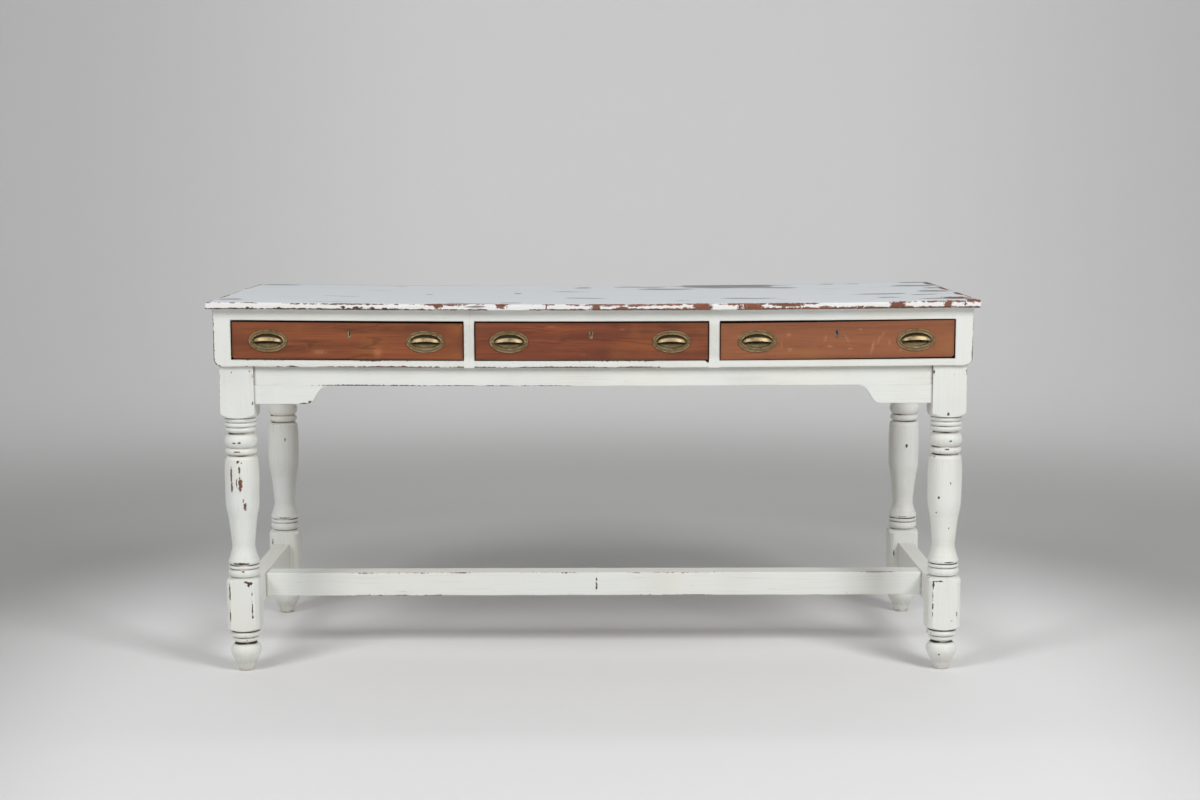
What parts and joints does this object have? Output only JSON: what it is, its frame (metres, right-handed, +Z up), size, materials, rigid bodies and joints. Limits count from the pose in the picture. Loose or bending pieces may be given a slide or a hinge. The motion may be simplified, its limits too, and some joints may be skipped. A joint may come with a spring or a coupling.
{
  "type": "console table",
  "caption": "Long side table on turned legs with an H stretcher, its case fitted with side-by-side cup-pull drawers that slide forwards and lock into the rail above.",
  "frame": {"origin": "on the floor, under the centre of the top", "axes": "+X along the length to the right seen from the front, -Y towards the drawer fronts, +Z up"},
  "size_m": [1.617, 0.625, 0.8],
  "materials": {
    "painted_wood": "worn off-white paint, chipped to brown wood at the edges",
    "mahogany": "bare reddish-brown wood, rubbed, with scratches",
    "drawer_lining": "plain old softwood, unfinished",
    "bare_wood": "dry unfinished wood",
    "aged_brass": "aged, darkened in the hollows and rubbed bright on the lips",
    "worn_steel": "dull, rubbed",
    "steel": "dark, slightly rusted"
  },
  "bodies": {
    "table": {"leg_front_left": "painted_wood", "leg_front_right": "painted_wood", "leg_rear_left": "painted_wood", "leg_rear_right": "painted_wood", "apron_front": "painted_wood", "apron_rear": "painted_wood", "apron_left": "painted_wood", "apron_right": "painted_wood", "bracket_front_left": "painted_wood", "bracket_front_right": "painted_wood", "stretcher_left": "painted_wood", "stretcher_right": "painted_wood", "stretcher_long": "painted_wood", "case_top_rail": "painted_wood", "case_bottom_rail": "painted_wood", "case_divider_left": "painted_wood", "case_divider_right": "painted_wood", "case_end_left": "painted_wood", "case_end_right": "painted_wood", "case_back": "painted_wood", "drawer_runners": "bare_wood", "drawer_kickers": "bare_wood", "drawer_stops": "bare_wood", "case_screws": "steel", "top_board_front": "painted_wood", "top_board_middle": "painted_wood", "top_board_rear": "painted_wood"},
    "left_drawer": {"drawer_left_front": "mahogany", "drawer_left_side_left": "drawer_lining", "drawer_left_side_right": "drawer_lining", "drawer_left_back": "drawer_lining", "drawer_left_bottom": "drawer_lining", "drawer_left_pull_left": "aged_brass", "drawer_left_pull_right": "aged_brass", "drawer_left_pull_screws": "aged_brass", "drawer_left_escutcheon": "aged_brass", "drawer_left_lock_case": "steel"},
    "left_lock_bolt": {"drawer_left_lock_bolt": "steel"},
    "middle_drawer": {"drawer_middle_front": "mahogany", "drawer_middle_side_left": "drawer_lining", "drawer_middle_side_right": "drawer_lining", "drawer_middle_back": "drawer_lining", "drawer_middle_bottom": "drawer_lining", "drawer_middle_pull_left": "aged_brass", "drawer_middle_pull_right": "aged_brass", "drawer_middle_pull_screws": "aged_brass", "drawer_middle_escutcheon": "aged_brass", "drawer_middle_lock_case": "steel"},
    "middle_lock_bolt": {"drawer_middle_lock_bolt": "steel"},
    "right_drawer": {"drawer_right_front": "mahogany", "drawer_right_side_left": "drawer_lining", "drawer_right_side_right": "drawer_lining", "drawer_right_back": "drawer_lining", "drawer_right_bottom": "drawer_lining", "drawer_right_pull_left": "aged_brass", "drawer_right_pull_right": "aged_brass", "drawer_right_pull_screws": "aged_brass", "drawer_right_escutcheon": "worn_steel", "drawer_right_lock_case": "steel"},
    "right_lock_bolt": {"drawer_right_lock_bolt": "steel"}
  },
  "joints": [
    {"name": "left_drawer_slide", "type": "slide", "parent": "table", "child": "left_drawer", "axis": [0, -1, 0], "range_m": [0, 0.35]},
    {"name": "left_lock_bolt_slide", "type": "slide", "parent": "left_drawer", "child": "left_lock_bolt", "axis": [0, 0, 1], "range_m": [0, 0.006]},
    {"name": "middle_drawer_slide", "type": "slide", "parent": "table", "child": "middle_drawer", "axis": [0, -1, 0], "range_m": [0, 0.35]},
    {"name": "middle_lock_bolt_slide", "type": "slide", "parent": "middle_drawer", "child": "middle_lock_bolt", "axis": [0, 0, 1], "range_m": [0, 0.006]},
    {"name": "right_drawer_slide", "type": "slide", "parent": "table", "child": "right_drawer", "axis": [0, -1, 0], "range_m": [0, 0.35]},
    {"name": "right_lock_bolt_slide", "type": "slide", "parent": "right_drawer", "child": "right_lock_bolt", "axis": [0, 0, 1], "range_m": [0, 0.006]}
  ]
}
